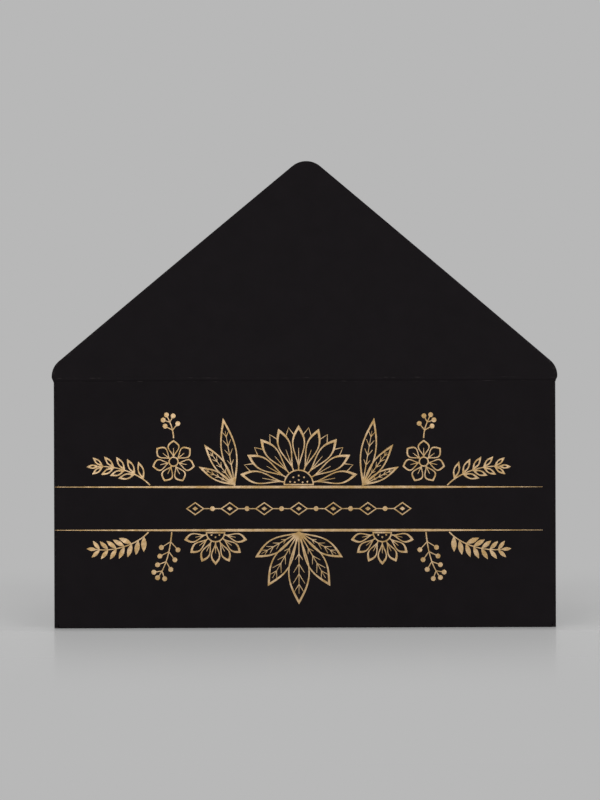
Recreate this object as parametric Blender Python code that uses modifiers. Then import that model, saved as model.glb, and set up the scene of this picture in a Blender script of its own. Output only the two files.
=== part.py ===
"""A money envelope: one folded card blank with a flap that closes over its back.

Metres, +Z up. The printed front faces -Y and +X is to its right. The origin lies under
the middle of the bottom fold. The envelope stands on that fold with its flap open, and
its two panels stand a little apart at the mouth, as a glued card envelope does at rest.
"""
from math import ceil, cos, hypot, log, pi, radians, sin, tan

import bmesh
import bpy
from mathutils import Matrix, Vector
from mathutils.geometry import delaunay_2d_cdt, interpolate_bezier

# Card and glue
CARD = 0.00035
CLEARANCE = 0.0003
GLUE = 0.00012
GLUE_GAP = 0.0001

# Pocket
BODY_WIDTH = 0.165
CREASE_HEIGHT = 0.0816
POCKET_DEPTH = 0.004
BELLY = 0.0018
BOTTOM_FOLD_HEIGHT = 0.0015
BOTTOM_FOLD_RADIUS = 0.0004
BACK_INSET = 0.001
BACK_DROP = 0.004
BACK_CORNER_RADIUS = 0.003
TAB_WIDTH = 0.014
TAB_SLANT = 0.004
TAB_DROP = 0.002
GLUE_LINE_WIDTH = 0.004
GLUE_LINE_MARGIN = 0.003

# Flap
CREASE_WIDTH = 0.001
CREASE_BEAD = 0.00012
FLAP_OVERHANG = 0.0006
FLAP_REACH = 0.07445
FLAP_LEAN = radians(6)
SHOULDER_RISE = 0.0047
SHOULDER_RADIUS = 0.0075
TIP_RADIUS = 0.0075
TIP_SHIFT = 0.0008

# Foil print
FOIL = 0.00005
FOIL_LIFT = 0.00005
PRINT_SHIFT = -0.002
PRINT_SIDE_MARGIN = 0.008
PRINT_TOP_MARGIN = 0.011
PRINT_BOTTOM_MARGIN = 0.0075
RULE_WIDTH = 0.0007
RULE_END_WIDTH = 0.0003
RULE_END_MARGIN = 0.0024

# Motifs of the print, at the size they are drawn
LINE = 0.0005
FINE_LINE = 0.00035
SPACE = 0.0006
RULE_SPACING = 0.0143
ROSETTE_RADIUS = 0.0205
ROSETTE_CORE = 0.005
ROSETTE_PETALS = 9
FAN_SPAN = 0.0125
FAN_HEIGHT = 0.0235
BLOSSOM_RADIUS = 0.0072
BLOSSOM_CORE = 0.0017
BLOSSOM_PETALS = 7
SPRIG_HEIGHT = 0.0085
LAUREL_SPAN = 0.0215
LAUREL_HEIGHT = 0.0085
LAUREL_LEAF = 0.0062
PALMETTE_LENGTH = 0.024
PALMETTE_SPAN = 0.0155
DAISY_RADIUS = 0.0115
DAISY_CORE = 0.0032
DAISY_PETALS = 7
TWIG_SPAN = 0.0095
TWIG_LENGTH = 0.0165
BERRY_RADIUS = 0.0008
FROND_SPAN = 0.021
FROND_DROP = 0.0085
FROND_LEAF = 0.0052
CHAIN_LENGTH = 0.08
CHAIN_LOZENGES = 7
LOZENGE_LENGTH = 0.0062
LOZENGE_HEIGHT = 0.0044

# Proportions of leaves and petals
PETAL_FULLNESS = 0.62
PETAL_FIT = 0.86
TUCKED_FROM = 0.8
TUCKED_REACH = 0.97
FAN_ANGLES = (27, 53, 80)
FAN_SLIMNESS = 0.23
PALMETTE_ANGLES = (30, 60, 90, 120, 150)
PALMETTE_SLIMNESS = 0.3
SPRAY_SLIMNESS = 0.34

# Mesh steps
PANEL_CELL = 0.0125
CREASE_ROWS = 4
ARC_STEP = radians(15)
SCORE_STEP = radians(45)
LEAF_STEPS = 5
SMALL_LEAF_STEPS = 3
BERRY_SIDES = 6
MICRON = 0.000001

# Colours
BLACK_CARD = (0.0103, 0.0086, 0.0097)
GOLD_FOIL = (0.62, 0.45, 0.26)
CLEAR_GLUE = (0.75, 0.72, 0.62)

# Levels that follow from the sizes above
HALF_DEPTH = POCKET_DEPTH / 2
TAB_LEVEL = HALF_DEPTH - CARD - GLUE - 2 * GLUE_GAP
SIDE_FOLD_RADIUS = (HALF_DEPTH + TAB_LEVEL) / 2
PANEL_HALF = BODY_WIDTH / 2 - SIDE_FOLD_RADIUS - CLEARANCE
PANEL_FOOT = BOTTOM_FOLD_HEIGHT + CLEARANCE
CREASE_LOW = CREASE_HEIGHT - CREASE_WIDTH / 2
CREASE_TOP = CREASE_HEIGHT + CREASE_WIDTH / 2
PANEL_TOP = CREASE_LOW - CLEARANCE
BACK_TOP = CREASE_HEIGHT - BACK_DROP
HINGE = Vector((0, (CARD + CLEARANCE) / 2, CREASE_HEIGHT))

# Places of the motifs, outward from the middle of the print
FAN_PLACE = ROSETTE_RADIUS + SPACE
BLOSSOM_PLACE = FAN_PLACE + FAN_SPAN + SPACE + BLOSSOM_RADIUS
LAUREL_PLACE = BLOSSOM_PLACE + BLOSSOM_RADIUS + SPACE
DAISY_PLACE = PALMETTE_SPAN + SPACE + DAISY_RADIUS
TWIG_PLACE = DAISY_PLACE + DAISY_RADIUS + SPACE
FROND_PLACE = TWIG_PLACE + TWIG_SPAN + SPACE
BLOSSOM_RISE = BLOSSOM_RADIUS + 2 * SPACE
SPRIG_RISE = BLOSSOM_RISE + BLOSSOM_RADIUS + SPACE

# The print is drawn as large as the front panel has room for
DRAWN_REACH = max(LAUREL_PLACE + LAUREL_SPAN, FROND_PLACE + FROND_SPAN)
UPPER_HEIGHT = max(FAN_HEIGHT, ROSETTE_RADIUS, SPRIG_RISE + SPRIG_HEIGHT)
LOWER_HEIGHT = max(PALMETTE_LENGTH, DAISY_RADIUS, TWIG_LENGTH) + SPACE
PRINT_ROOM = PANEL_HALF - abs(PRINT_SHIFT) - PRINT_SIDE_MARGIN
PRINT_RISE = CREASE_HEIGHT - PRINT_TOP_MARGIN - PRINT_BOTTOM_MARGIN
PRINT_SCALE = min(PRINT_ROOM / DRAWN_REACH, PRINT_RISE / (UPPER_HEIGHT + RULE_SPACING + LOWER_HEIGHT))
LOWER_RULE = PRINT_BOTTOM_MARGIN + PRINT_SCALE * LOWER_HEIGHT
UPPER_RULE = LOWER_RULE + PRINT_SCALE * RULE_SPACING


def clear_scene():
    for old in list(bpy.data.objects):
        bpy.data.objects.remove(old)


def collection(name):
    made = bpy.data.collections.new(name)
    bpy.context.scene.collection.children.link(made)
    return made


clear_scene()
PARTS = collection("money_envelope")
CUTTERS = collection("cutters")


def add_object(name, bm, group=PARTS, origin=Vector()):
    bmesh.ops.translate(bm, verts=bm.verts, vec=-origin)
    mesh = bpy.data.meshes.new(name)
    bm.to_mesh(mesh)
    bm.free()
    made = bpy.data.objects.new(name, mesh)
    made.location = origin
    group.objects.link(made)
    return made


def paint(part, colour, roughness, metallic=0):
    material = bpy.data.materials.new(part.name)
    material.use_nodes = True
    shader = material.node_tree.nodes["Principled BSDF"]
    shader.inputs["Base Color"].default_value = (*colour, 1)
    shader.inputs["Roughness"].default_value = roughness
    shader.inputs["Metallic"].default_value = metallic
    part.data.materials.append(material)


def paint_card(part):
    paint(part, BLACK_CARD, roughness=0.7)


def thicken(part, thickness):
    """Gives an open sheet its thickness behind the face that its normals point out of."""
    solid = part.modifiers.new("thickness", "SOLIDIFY")
    solid.thickness = thickness
    solid.offset = -1
    solid.use_even_offset = True


# Card


def belly(x, z):
    """How far a panel stands out from its flat plane; the flap mirrors the back panel."""
    across = min(abs(x) / PANEL_HALF, 1)
    up = (z - BOTTOM_FOLD_HEIGHT) / (CREASE_HEIGHT - BOTTOM_FOLD_HEIGHT)
    up = min(up, 2 - up)
    if up <= 0:
        return 0
    return BELLY * (1 - across**2) * (1 - (1 - up) ** 2)


def panel(name, side, level, ends, heights, thickness=CARD, rows=0, bead=0, origin=Vector()):
    """A sheet that follows the belly; side is -1 in front and 1 behind, level its outer face."""
    left, right = sorted(ends)
    low, high = heights
    columns = ceil((right - left) / PANEL_CELL)
    rows = rows or ceil((high - low) / PANEL_CELL)
    bm = bmesh.new()
    bmesh.ops.create_grid(bm, x_segments=columns, y_segments=rows, size=0.5)
    for vert in bm.verts:
        x = left + (right - left) * (vert.co.x + 0.5)
        share = vert.co.y + 0.5
        z = low + (high - low) * share
        vert.co = (x, side * (level + belly(x, z) + bead * sin(pi * share)), z)
    if side > 0:
        bmesh.ops.reverse_faces(bm, faces=bm.faces)
    made = add_object(name, bm, origin=origin)
    thicken(made, thickness)
    return made


def strip(name, profile, axis, start, end):
    """An open profile drawn out along an axis."""
    bm = bmesh.new()
    verts = [bm.verts.new(Vector(point) + axis * start) for point in profile]
    edges = [bm.edges.new(pair) for pair in zip(verts, verts[1:])]
    grown = bmesh.ops.extrude_edge_only(bm, edges=edges)
    moved = [item for item in grown["geom"] if isinstance(item, bmesh.types.BMVert)]
    bmesh.ops.translate(bm, verts=moved, vec=axis * (end - start))
    made = add_object(name, bm)
    thicken(made, CARD)
    paint_card(made)


def arc(centre, radius, start, end, step_angle=ARC_STEP):
    steps = ceil(abs(end - start) / step_angle)
    turns = [start + (end - start) * step / steps for step in range(steps + 1)]
    return [(centre[0] + radius * cos(turn), centre[1] + radius * sin(turn)) for turn in turns]


def rounded(corners):
    """The outline of a polygon whose corners (x, z, radius) are rounded by arcs."""
    outline = []
    for index, (x, z, radius) in enumerate(corners):
        corner = Vector((x, z))
        if not radius:
            outline.append(corner)
            continue
        back = (Vector(corners[index - 1][:2]) - corner).normalized()
        ahead = (Vector(corners[(index + 1) % len(corners)][:2]) - corner).normalized()
        half = back.angle(ahead) / 2
        centre = corner + (back + ahead).normalized() * radius / sin(half)
        spoke = corner + back * radius / tan(half) - centre
        sweep = pi - 2 * half
        if back.cross(ahead) > 0:
            sweep = -sweep
        steps = ceil(abs(sweep) / ARC_STEP)
        for step in range(steps + 1):
            outline.append(centre + Matrix.Rotation(sweep * step / steps, 2) @ spoke)
    return outline


def outline_cutter(name, outline):
    """A prism that stands across the whole envelope on an outline in the XZ plane."""
    curve = bpy.data.curves.new(name, "CURVE")
    curve.dimensions = "2D"
    curve.fill_mode = "BOTH"
    curve.extrude = POCKET_DEPTH + 2 * BELLY
    spline = curve.splines.new("POLY")
    spline.points.add(len(outline) - 1)
    for point, (x, z) in zip(spline.points, outline):
        point.co = (x, z, 0, 1)
    spline.use_cyclic_u = True
    drawn = bpy.data.objects.new(name, curve)
    drawn.rotation_euler.x = pi / 2
    CUTTERS.objects.link(drawn)
    bpy.context.view_layer.update()
    graph = bpy.context.evaluated_depsgraph_get()
    bm = bmesh.new()
    bm.from_mesh(bpy.data.meshes.new_from_object(drawn.evaluated_get(graph)))
    bmesh.ops.remove_doubles(bm, verts=bm.verts, dist=MICRON)
    cutter = add_object(name + "_cutter", bm, CUTTERS)
    cutter.matrix_world = drawn.matrix_world
    bpy.data.objects.remove(drawn)
    cutter.hide_render = True
    cutter.display_type = "WIRE"
    return cutter


def trim(part, outline):
    """Cuts a panel to an outline in the XZ plane, which then moves with the panel."""
    cut = part.modifiers.new("outline", "BOOLEAN")
    cut.operation = "INTERSECT"
    cut.object = outline_cutter(part.name, outline)
    bpy.context.view_layer.update()
    cut.object.parent = part
    cut.object.matrix_parent_inverse = part.matrix_world.inverted()


def make_panels():
    front = panel("front_panel", -1, HALF_DEPTH, (-PANEL_HALF, PANEL_HALF), (PANEL_FOOT, PANEL_TOP))
    paint_card(front)
    reach = BODY_WIDTH / 2 - BACK_INSET
    back = panel("back_panel", 1, HALF_DEPTH, (-reach, reach), (PANEL_FOOT, BACK_TOP))
    corners = [
        (-reach - CLEARANCE, 0, 0),
        (reach + CLEARANCE, 0, 0),
        (reach, BACK_TOP, BACK_CORNER_RADIUS),
        (-reach, BACK_TOP, BACK_CORNER_RADIUS),
    ]
    trim(back, rounded(corners))
    paint_card(back)


def make_bottom_fold():
    inner = HALF_DEPTH - BOTTOM_FOLD_RADIUS
    back = arc((inner, BOTTOM_FOLD_RADIUS), BOTTOM_FOLD_RADIUS, 0, -pi / 2, SCORE_STEP)
    front = arc((-inner, BOTTOM_FOLD_RADIUS), BOTTOM_FOLD_RADIUS, -pi / 2, -pi, SCORE_STEP)
    line = [(HALF_DEPTH, BOTTOM_FOLD_HEIGHT), *back, *front, (-HALF_DEPTH, BOTTOM_FOLD_HEIGHT)]
    profile = [(0, y, z) for y, z in line]
    strip("bottom_fold", profile, Vector((1, 0, 0)), -BODY_WIDTH / 2, BODY_WIDTH / 2)


def make_side_fold(name, side):
    centre = (BODY_WIDTH / 2 - SIDE_FOLD_RADIUS, SIDE_FOLD_RADIUS - HALF_DEPTH)
    bent = arc(centre, SIDE_FOLD_RADIUS, side * pi / 2, -side * pi / 2)
    profile = [(side * x, y, 0) for x, y in bent]
    strip(name + "_side_fold", profile, Vector((0, 0, 1)), PANEL_FOOT, PANEL_TOP)


def make_tab(name, side):
    """The tab behind a side fold, and the glue line that holds the back panel to it."""
    foot = PANEL_FOOT + TAB_DROP
    head = BACK_TOP - TAB_DROP
    edge = side * (PANEL_HALF - TAB_WIDTH)
    tab = panel(name + "_glue_tab", 1, TAB_LEVEL, (side * PANEL_HALF, edge), (foot, head))
    root = side * (PANEL_HALF + CLEARANCE)
    trim(tab, [(root, foot), (edge, foot + TAB_SLANT), (edge, head - TAB_SLANT), (root, head)])
    paint_card(tab)
    middle = side * (PANEL_HALF - TAB_WIDTH / 2)
    ends = (middle - GLUE_LINE_WIDTH / 2, middle + GLUE_LINE_WIDTH / 2)
    margin = TAB_SLANT + GLUE_LINE_MARGIN
    level = TAB_LEVEL + GLUE_GAP + GLUE
    glue = panel(name + "_glue_line", 1, level, ends, (foot + margin, head - margin), thickness=GLUE)
    paint(glue, CLEAR_GLUE, roughness=0.4)


def make_crease():
    """The scored bead between the front panel and the flap."""
    half = BODY_WIDTH / 2
    heights = (CREASE_LOW, CREASE_TOP)
    crease = panel(
        "flap_crease", -1, HALF_DEPTH, (-half, half), heights, rows=CREASE_ROWS, bead=CREASE_BEAD
    )
    paint_card(crease)


def make_flap():
    """A rounded triangle that leans a little back, its origin on the axis that it turns about."""
    half = BODY_WIDTH / 2 + FLAP_OVERHANG
    foot = CREASE_TOP + CLEARANCE
    shoulder = CREASE_HEIGHT + SHOULDER_RISE
    apex = CREASE_HEIGHT + FLAP_REACH
    flap = panel("flap", -1, HALF_DEPTH, (-half, half), (foot, apex), origin=HINGE)
    corners = [
        (-half, foot, 0),
        (half, foot, 0),
        (half, shoulder, SHOULDER_RADIUS),
        (TIP_SHIFT, apex, TIP_RADIUS),
        (-half, shoulder, SHOULDER_RADIUS),
    ]
    trim(flap, rounded(corners))
    flap.rotation_euler.x = -FLAP_LEAN
    paint_card(flap)


# Drawn shapes: each is a list of small outlines, which the foil joins


def heading(angle):
    return Vector((cos(angle), sin(angle)))


def slant(along):
    return along.angle_signed(Vector((1, 0)))


def spread(values, share):
    """The value at a share of the way through an evenly spaced list."""
    place = share * (len(values) - 1)
    step = min(int(place), len(values) - 2)
    return values[step] + (values[step + 1] - values[step]) * (place - step)


def bend(start, start_handle, end_handle, end, steps):
    """Points along a Bezier curve."""
    points = [Vector(point) for point in (start, start_handle, end_handle, end)]
    return [point.to_2d() for point in interpolate_bezier(*points, steps + 1)]


def line_along(path, widths):
    """A drawn line: one quad for each step of its path, with widths spread along it."""
    sides = []
    for index, point in enumerate(path):
        before = path[max(index - 1, 0)]
        after = path[min(index + 1, len(path) - 1)]
        across = (after - before).normalized().orthogonal()
        half = across * spread(widths, index / (len(path) - 1)) / 2
        sides.append((point + half, point - half))
    return [[a[0], b[0], b[1], a[1]] for a, b in zip(sides, sides[1:])]


def ring(outer, inner):
    """The band between two outlines of equally many points."""
    steps = range(len(outer))
    return [[outer[step - 1], outer[step], inner[step], inner[step - 1]] for step in steps]


def polygon(centre, radius, sides):
    return [centre + heading(2 * pi * index / sides) * radius for index in range(sides)]


def leaf(base, angle, length, width, fullness=0.5, steps=LEAF_STEPS):
    """A pointed oval that is widest at a share of its length."""
    along = heading(angle)
    across = heading(angle + pi / 2)
    halves = [(step / steps, half_width(step / steps, width, fullness)) for step in range(1, steps)]
    near = [base + along * length * share + across * half for share, half in halves]
    far = [base + along * length * share - across * half for share, half in reversed(halves)]
    return [base, *near, base + along * length, *far]


def half_width(share, width, fullness):
    """Half the width of a leaf at a share of its length."""
    return sin(pi * share ** (log(0.5) / log(fullness))) * width / 2


def open_leaf(base, angle, length, width, fullness=0.5, steps=LEAF_STEPS, vein=0):
    """A leaf or petal as an outline, with a vein drawn over a share of its length."""
    outer = leaf(base, angle, length, width, fullness, steps)
    if width < 3 * LINE:
        return [outer]
    point = LINE * length / width
    inner_base = base + heading(angle) * point
    drawn = ring(outer, leaf(inner_base, angle, length - 2 * point, width - 2 * LINE, fullness, steps))
    if vein:
        end = base + heading(angle) * length * vein
        drawn += line_along([base, (base + end) / 2, end], (LINE, FINE_LINE / 2))
    return drawn


def rosette(radius, core, petals, steps, vein=0, tucked=False):
    """Half a flower, whose petals fan out over the line that it stands on."""
    centre = Vector((0, SPACE + LINE / 2))
    half_step = pi / petals / 2
    turns = [pi * step / petals for step in range(petals + 1)]
    outer = [centre + heading(turn) * core for turn in turns]
    inner = [centre + heading(turn) * (core - LINE) for turn in turns]
    shapes = [[a, b, d, c] for a, b, c, d in zip(outer, outer[1:], inner, inner[1:])]
    shapes += line_along([outer[0], centre, outer[-1]], (LINE, LINE))
    start = core - LINE / 2
    length = radius - centre.y - start
    width = PETAL_FIT * 2 * (core + PETAL_FULLNESS * length) * tan(half_step)
    for index in range(petals):
        angle = half_step * (2 * index + 1)
        base = centre + heading(angle) * start
        shapes += open_leaf(base, angle, length, width, PETAL_FULLNESS, steps, vein)
    if tucked:
        foot = start + TUCKED_FROM * length
        open_angle = half_step - half_width(TUCKED_FROM, width, PETAL_FULLNESS) / foot
        for turn in turns[1:-1]:
            left = centre + heading(turn + open_angle) * foot
            right = centre + heading(turn - open_angle) * foot
            tip = centre + heading(turn) * TUCKED_REACH * (start + length)
            shapes += line_along([left, tip, right], (FINE_LINE, FINE_LINE))
    return shapes


def blossom(radius, core, petals):
    """A whole round flower."""
    middle = Vector((0, 0))
    shapes = ring(polygon(middle, core, petals), polygon(middle, core - LINE, petals))
    length = radius - core + LINE
    width = PETAL_FIT * 2 * (core + PETAL_FULLNESS * length) * sin(pi / petals)
    for index in range(petals):
        angle = pi / 2 + 2 * pi * index / petals
        base = heading(angle) * (core - LINE)
        shapes += open_leaf(base, angle, length, width, PETAL_FULLNESS, steps=4)
    return shapes


def leaf_fan(span, height, angles, slimness, fullness, vein):
    """Long leaves that spread from one root, inside an ellipse of this half width and height."""
    shapes = []
    for angle in map(radians, angles):
        length = 1 / hypot(cos(angle) / span, sin(angle) / height)
        base = Vector((0, SPACE))
        shapes += open_leaf(base, angle, length, slimness * length, fullness, vein=vein)
    return shapes


def spray_leaf(base, angle, length, filled):
    width = SPRAY_SLIMNESS * length
    if filled:
        return [leaf(base, angle, length, width, steps=SMALL_LEAF_STEPS)]
    return open_leaf(base, angle, length, width, steps=SMALL_LEAF_STEPS)


def point_along(path, share):
    """The point at a share of a path, and the slant of the path there."""
    place = share * (len(path) - 1)
    step = min(int(place), len(path) - 2)
    along = path[step + 1] - path[step]
    return path[step] + along * (place - step), slant(along)


def spray(path, pairs, size, lean, filled):
    """A stem with leaves in pairs that shrink towards the one at its end."""
    shapes = line_along(path, (LINE, FINE_LINE))
    for pair in range(pairs):
        base, angle = point_along(path, (pair + 1) / (pairs + 0.5))
        length = size * (1 - pair / pairs / 3)
        for side in (-1, 1):
            tip = base + heading(angle + side * lean) * length
            if tip.y > SPACE + SPRAY_SLIMNESS * length:
                shapes += spray_leaf(base, angle + side * lean, length, filled)
    angle = slant(path[-1] - path[-2])
    return shapes + spray_leaf(path[-1] - heading(angle) * LINE, angle, size * 2 / 3, filled)


def laurel(span, height):
    handles = (0.15 * span, 0.5 * height), (0.5 * span, 0.85 * height)
    path = bend((0, SPACE), *handles, (span - LAUREL_LEAF * 2 / 3, 0.8 * height), 7)
    return spray(path, 5, LAUREL_LEAF, radians(38), filled=False)


def frond(span, drop):
    handles = (0.15 * span, 0.5 * drop), (0.5 * span, 0.85 * drop)
    path = bend((0, SPACE), *handles, (span - FROND_LEAF * 2 / 3, 0.75 * drop), 7)
    return spray(path, 7, FROND_LEAF, radians(48), filled=True)


def berry_twig(path, pairs, stalk):
    """A stem with round berries on short stalks, in pairs and one at its end."""
    shapes = line_along(path, (LINE, FINE_LINE))
    ends = [path[-1]]
    for pair in range(pairs):
        base, angle = point_along(path, (pair + 1) / (pairs + 0.8))
        for side in (-1, 1):
            end = base + heading(angle + side * radians(50)) * stalk * (1 - pair / pairs / 3)
            shapes += line_along([base, end], (FINE_LINE, FINE_LINE))
            ends.append(end)
    return shapes + [polygon(end, BERRY_RADIUS, BERRY_SIDES) for end in ends]


def sprig(height):
    top = height - BERRY_RADIUS
    path = bend((0, 0), (0, top / 3), (0.1 * top, 0.6 * top), (0.3 * top, top), 4)
    return berry_twig(path, 2, 0.33 * height)


def twig(span, length):
    handles = (0.3 * span, length / 3), (0.4 * span, 0.7 * length)
    path = bend((0.25 * span, SPACE), *handles, (0.75 * span, length - BERRY_RADIUS), 6)
    return berry_twig(path, 4, 0.22 * length)


def chain(length, lozenges):
    """A row of lozenges with a bead between each two, joined by fine lines."""
    step = length / lozenges
    link = Vector((step - LOZENGE_LENGTH + LINE, 0)) / 2
    shapes = []
    for index in range(lozenges):
        centre = Vector((step * (index + 0.5) - length / 2, 0))
        rays = [Vector((turn.x * LOZENGE_LENGTH, turn.y * LOZENGE_HEIGHT)) / 2 for turn in QUARTERS]
        outer = [centre + ray for ray in rays]
        inner = [centre + ray * (1 - 3 * LINE / LOZENGE_LENGTH) for ray in rays]
        shapes += ring(outer, inner)
        if index:
            bead = centre - Vector((step / 2, 0))
            shapes.append(polygon(bead, BERRY_RADIUS, BERRY_SIDES))
            shapes += line_along([bead - link, bead + link], (FINE_LINE, FINE_LINE))
    return shapes


QUARTERS = polygon(Vector((0, 0)), 1, 4)


# Foil


def signed_area(outline):
    return sum(a.cross(b) for a, b in zip(outline, outline[1:] + outline[:1])) / 2


def print_foil(name, shapes, place, up=1, side=1):
    """Joins drawn shapes into one sheet of foil, whose drawing starts at a place on the panel."""
    across, height = place
    points = []
    faces = []
    for shape in shapes:
        placed = [
            Vector((PRINT_SHIFT + side * (across + PRINT_SCALE * u), height + PRINT_SCALE * up * w))
            for u, w in shape
        ]
        if signed_area(placed) < 0:
            placed.reverse()
        faces.append(range(len(points), len(points) + len(placed)))
        points += [point / MICRON for point in placed]
    joined, _, triangles, _, _, sources = delaunay_2d_cdt(points, [], faces, 1, 1)
    bm = bmesh.new()
    for point in joined:
        x, z = point * MICRON
        bm.verts.new((x, -(HALF_DEPTH + FOIL_LIFT + FOIL + belly(x, z)), z))
    bm.verts.ensure_lookup_table()
    for triangle, source in zip(triangles, sources):
        if source:
            bm.faces.new([bm.verts[index] for index in triangle])
    loose = [vert for vert in bm.verts if not vert.link_faces]
    bmesh.ops.delete(bm, geom=loose, context="VERTS")
    foil = add_object(name + "_foil", bm)
    thicken(foil, FOIL)
    paint(foil, GOLD_FOIL, roughness=0.35, metallic=1)


def make_rule(name, height):
    left = CLEARANCE - PANEL_HALF
    length = PANEL_HALF - RULE_END_MARGIN - left
    steps = ceil(length / PANEL_CELL)
    start = Vector((left - PRINT_SHIFT, 0))
    path = [(start + Vector((length * step / steps, 0))) / PRINT_SCALE for step in range(steps + 1)]
    widths = [width / PRINT_SCALE for width in (RULE_END_WIDTH, RULE_WIDTH, RULE_WIDTH, RULE_END_WIDTH)]
    print_foil(name, line_along(path, widths), (0, height))


def make_middle_print():
    make_rule("upper_rule", UPPER_RULE)
    make_rule("lower_rule", LOWER_RULE)
    flower = rosette(ROSETTE_RADIUS, ROSETTE_CORE, ROSETTE_PETALS, LEAF_STEPS, vein=0.5, tucked=True)
    print_foil("rosette", flower, (0, UPPER_RULE))
    leaves = leaf_fan(PALMETTE_SPAN, PALMETTE_LENGTH, PALMETTE_ANGLES, PALMETTE_SLIMNESS, 0.56, vein=0.85)
    print_foil("palmette", leaves, (0, LOWER_RULE), up=-1)
    print_foil("chain", chain(CHAIN_LENGTH, CHAIN_LOZENGES), (0, (UPPER_RULE + LOWER_RULE) / 2))


def make_side_print(name, side):
    """The motifs on one side of the print; the other side mirrors them."""
    fan = leaf_fan(FAN_SPAN, FAN_HEIGHT, FAN_ANGLES, FAN_SLIMNESS, 0.5, vein=0.8)
    upper = (
        ("fan", fan, FAN_PLACE, 0),
        ("blossom", blossom(BLOSSOM_RADIUS, BLOSSOM_CORE, BLOSSOM_PETALS), BLOSSOM_PLACE, BLOSSOM_RISE),
        ("sprig", sprig(SPRIG_HEIGHT), BLOSSOM_PLACE, SPRIG_RISE),
        ("laurel", laurel(LAUREL_SPAN, LAUREL_HEIGHT), LAUREL_PLACE, 0),
    )
    for motif, shapes, across, rise in upper:
        place = (PRINT_SCALE * across, UPPER_RULE + PRINT_SCALE * rise)
        print_foil(f"{name}_{motif}", shapes, place, side=side)
    lower = (
        ("daisy", rosette(DAISY_RADIUS, DAISY_CORE, DAISY_PETALS, steps=4), DAISY_PLACE),
        ("twig", twig(TWIG_SPAN, TWIG_LENGTH), TWIG_PLACE),
        ("frond", frond(FROND_SPAN, FROND_DROP), FROND_PLACE),
    )
    for motif, shapes, across in lower:
        print_foil(f"{name}_{motif}", shapes, (PRINT_SCALE * across, LOWER_RULE), up=-1, side=side)


make_panels()
make_bottom_fold()
for word, direction in (("left", -1), ("right", 1)):
    make_side_fold(word, direction)
    make_tab(word, direction)
make_crease()
make_flap()
make_middle_print()
for word, direction in (("left", -1), ("right", 1)):
    make_side_print(word, direction)
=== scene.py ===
"""The looks of a money envelope: one sheet of folded black card, stamped with gold foil.

Metres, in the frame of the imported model: the printed front faces -Y and +Z is up. The card
is one continuous sheet here, from the tip of the flap over the crease, down the front,
under the bottom and up the back, with a folded tab at each side of the front panel.
"""
from math import ceil, cos, hypot, log, pi, radians, sin, sqrt, tan

import bmesh
import bpy
from mathutils import Matrix, Vector
from mathutils.geometry import delaunay_2d_cdt, interpolate_bezier


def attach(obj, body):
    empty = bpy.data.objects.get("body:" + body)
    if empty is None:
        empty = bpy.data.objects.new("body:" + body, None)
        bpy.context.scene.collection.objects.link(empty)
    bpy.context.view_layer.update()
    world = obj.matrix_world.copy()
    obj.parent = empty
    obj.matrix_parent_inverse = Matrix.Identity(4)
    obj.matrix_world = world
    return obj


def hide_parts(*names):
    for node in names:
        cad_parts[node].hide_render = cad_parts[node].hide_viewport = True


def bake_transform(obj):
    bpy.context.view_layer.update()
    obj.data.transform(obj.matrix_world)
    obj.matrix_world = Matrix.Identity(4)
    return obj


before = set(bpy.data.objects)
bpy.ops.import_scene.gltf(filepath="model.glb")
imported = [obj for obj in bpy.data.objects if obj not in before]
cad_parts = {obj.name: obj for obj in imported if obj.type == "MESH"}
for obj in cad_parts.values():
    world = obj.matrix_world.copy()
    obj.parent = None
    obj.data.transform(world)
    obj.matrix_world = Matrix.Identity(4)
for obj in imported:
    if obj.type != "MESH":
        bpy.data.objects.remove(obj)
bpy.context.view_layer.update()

# Card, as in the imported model
CARD = 0.00035
BODY_WIDTH = 0.165
CREASE_HEIGHT = 0.0816
HALF_DEPTH = 0.002
BELLY = 0.0018
BOTTOM_FOLD_HEIGHT = 0.0015
BOTTOM_FOLD_RADIUS = 0.0004
SIDE_FOLD_RADIUS = 0.001665
SIDE_FOLD_DROP = 0.0014
PANEL_HALF = 0.080535
PANEL_FOOT = 0.0018
PANEL_TOP = 0.0808
FOLD_ROOT = BODY_WIDTH / 2 - SIDE_FOLD_RADIUS
BACK_HALF = 0.0815
BACK_TOP = 0.0776
BACK_CORNER_RADIUS = 0.003
TAB_LEVEL = 0.00133
TAB_EDGE = 0.066535
TAB_FOOT = 0.0038
TAB_HEAD = 0.0756
TAB_SLANT = 0.004

# Flap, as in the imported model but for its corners, which follow the photograph more closely
FLAP_HALF = 0.0831
FLAP_FOOT = 0.0824
FLAP_SHOULDERS = {-1: 0.08565, 1: 0.08554}
FLAP_APEX = 0.15605
FLAP_LEAN = radians(6)
SHOULDER_RADIUS = 0.0066
TIP_RADIUS = 0.0071
TIP_SHIFT = 0.0008
HINGE = Vector((0, 0.000325, CREASE_HEIGHT))

# Crease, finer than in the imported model
BEAD_HALF = 0.00045
BEAD_RISE = 0.00012
GROOVE_WIDTH = 0.00026
GROOVE_DEPTH = 0.00003
BLEND_START = 0.081

# Mesh steps
CELL = 0.004
CREASE_STEP = 0.00008
ARC_STEP = radians(7.5)
FOLD_STEP = radians(15)
SLOPE_STEPS = 26
RULE_STEP = 0.0003
LEAF_STEPS = 14
SMALL_LEAF_STEPS = 10
STEM_STEPS = 14
TWIG_STEPS = 12
SPRIG_STEPS = 8
BERRY_SIDES = 16
SEED_SIDES = 8
MICRON = 0.000001
ROUNDING = 0.000001

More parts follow.
